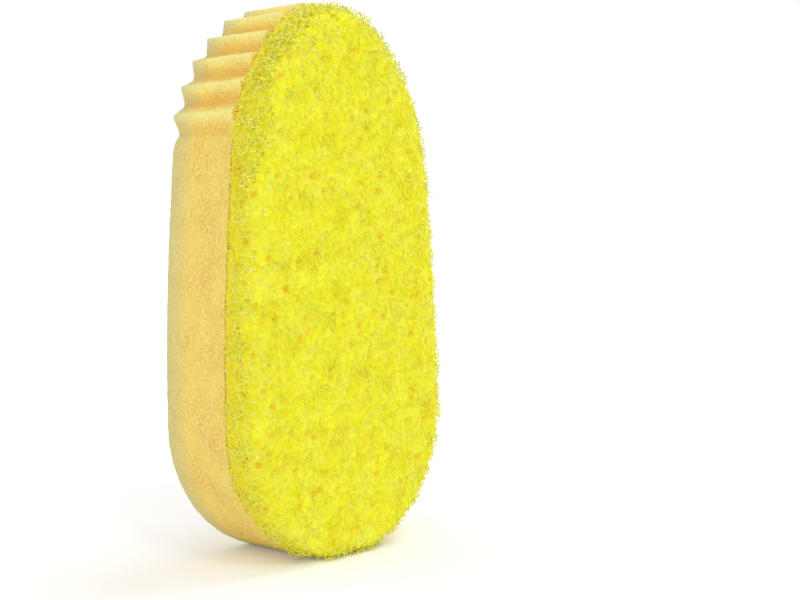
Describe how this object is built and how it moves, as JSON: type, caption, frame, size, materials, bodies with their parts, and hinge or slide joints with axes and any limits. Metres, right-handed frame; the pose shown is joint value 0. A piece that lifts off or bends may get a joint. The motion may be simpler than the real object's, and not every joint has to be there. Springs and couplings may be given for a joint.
{
  "type": "dish wand head",
  "caption": "Replaceable dish wand head: coarse open-cell scrub foam bonded to a fine sponge with a ridged toe, on a moulded base with a latching neck socket.",
  "frame": {"origin": "middle of the box's base, at the foot that the head stands on", "axes": "+Z from the heel to the toe, +Y from the scrub face to the back, out of the neck socket's mouth"},
  "size_m": [0.0588, 0.0346, 0.1207],
  "materials": {
    "scrub_foam": "coarse open-cell foam",
    "sponge_foam": "fine-pored foam",
    "adhesive": "cured film",
    "housing": "fine moulded grain",
    "slide": "smooth moulded",
    "tab": "fine moulded grain",
    "seal": "smooth",
    "spring": "bright drawn wire"
  },
  "bodies": {
    "head": {"scrub_foam": "scrub_foam", "foam_bond": "adhesive", "sponge_foam": "sponge_foam", "base_bond": "adhesive", "socket_housing": "housing", "neck_seal": "seal", "cover_plate": "housing", "latch_spring": "spring"},
    "latch": {"latch_slide": "slide", "release_tab": "tab"}
  },
  "joints": [
    {"name": "latch_press", "type": "slide", "parent": "head", "child": "latch", "axis": [0, 0, 1], "range_m": [0, 0.0025], "stiffness_N_per_m": 2600, "springref_m": -0.0005, "deforming": ["latch_spring"]}
  ]
}
